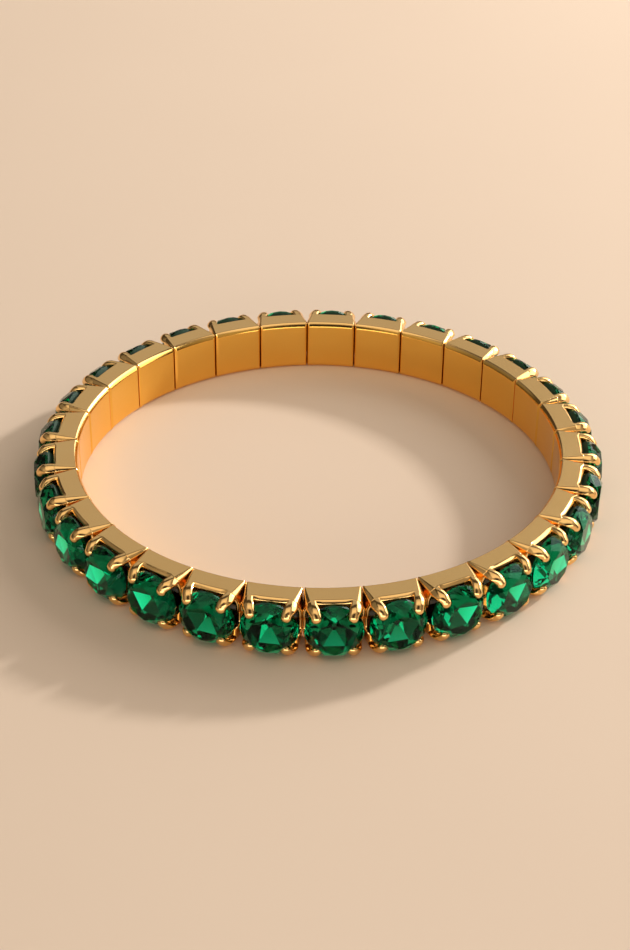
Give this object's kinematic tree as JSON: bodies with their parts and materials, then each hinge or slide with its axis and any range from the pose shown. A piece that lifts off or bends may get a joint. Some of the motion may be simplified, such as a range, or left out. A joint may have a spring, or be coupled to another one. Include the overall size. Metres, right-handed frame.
{
  "type": "bangle",
  "caption": "Round stretch tennis bangle: a closed row of gold box links, each holding a round faceted green stone in claws, on a hidden elastic cord.",
  "frame": {"origin": "on the wrist axis, in the plane that the bangle lies on", "axes": "+Z along the wrist axis, up from the surface that the bangle lies on; -Y through the middle of link 01, and the links are numbered counterclockwise seen from above"},
  "size_m": [0.065, 0.065, 0.0063],
  "materials": {
    "gold": "polished yellow gold",
    "emerald": "polished faceted deep green stone",
    "elastic": "smooth matt translucent elastic"
  },
  "bodies": {
    "root": {"setting_01": "gold", "setting_02": "gold", "setting_03": "gold", "setting_04": "gold", "setting_05": "gold", "setting_06": "gold", "setting_07": "gold", "setting_08": "gold", "setting_09": "gold", "setting_10": "gold", "setting_11": "gold", "setting_12": "gold", "setting_13": "gold", "setting_14": "gold", "setting_15": "gold", "setting_16": "gold", "setting_17": "gold", "setting_18": "gold", "setting_19": "gold", "setting_20": "gold", "setting_21": "gold", "setting_22": "gold", "setting_23": "gold", "setting_24": "gold", "setting_25": "gold", "setting_26": "gold", "setting_27": "gold", "setting_28": "gold", "setting_29": "gold", "stone_01": "emerald", "stone_02": "emerald", "stone_03": "emerald", "stone_04": "emerald", "stone_05": "emerald", "stone_06": "emerald", "stone_07": "emerald", "stone_08": "emerald", "stone_09": "emerald", "stone_10": "emerald", "stone_11": "emerald", "stone_12": "emerald", "stone_13": "emerald", "stone_14": "emerald", "stone_15": "emerald", "stone_16": "emerald", "stone_17": "emerald", "stone_18": "emerald", "stone_19": "emerald", "stone_20": "emerald", "stone_21": "emerald", "stone_22": "emerald", "stone_23": "emerald", "stone_24": "emerald", "stone_25": "emerald", "stone_26": "emerald", "stone_27": "emerald", "stone_28": "emerald", "stone_29": "emerald", "elastic_cord": "elastic"}
  },
  "joints": []
}
